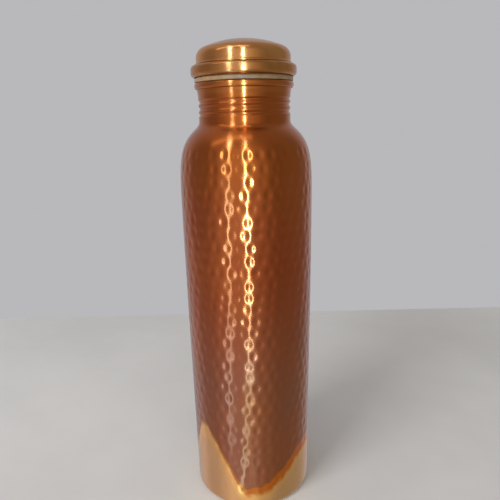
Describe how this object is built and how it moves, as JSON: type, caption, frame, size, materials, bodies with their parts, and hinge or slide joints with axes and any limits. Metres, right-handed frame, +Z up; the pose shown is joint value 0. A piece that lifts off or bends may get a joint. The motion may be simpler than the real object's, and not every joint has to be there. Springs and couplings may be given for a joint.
{
  "type": "copper water bottle",
  "caption": "Hammered copper water bottle with a rolled-thread neck and a domed screw-in stopper lid sealed by a silicone ring.",
  "frame": {"origin": "centre of the foot, on the surface the bottle stands on", "axes": "+Z up along the bottle's axis, towards the lid; X and Y are equal by symmetry"},
  "size_m": [0.074, 0.074, 0.2652],
  "materials": {
    "hammered_copper": "hand-hammered copper, warm brown patina, glossy",
    "bright_copper": "bright bare copper, satin",
    "polished_copper": "lathe-polished golden copper",
    "plain_copper": "plain drawn copper, satin",
    "milky_silicone": "milky beige silicone rubber"
  },
  "bodies": {
    "bottle": {"body_shell": "hammered_copper", "base_plate": "bright_copper"},
    "ring": {"sealing_ring": "milky_silicone"},
    "lid": {"cap_dome": "polished_copper", "cap_rim": "polished_copper", "plug_sleeve": "plain_copper", "plug_disc": "plain_copper"}
  },
  "joints": [
    {"name": "lid_lift", "type": "slide", "parent": "bottle", "child": "ring", "axis": [0, 0, 1], "range_m": [0, 0.02125]},
    {"name": "lid_turn", "type": "hinge", "parent": "ring", "child": "lid", "pos_m": [0, 0, 0.24335], "axis": [0, 0, 1], "range_deg": [0, 2250]}
  ],
  "couplings": [
    {"joint": "lid_lift", "follows": "lid_turn", "m_per_rad": 0.00054113}
  ]
}
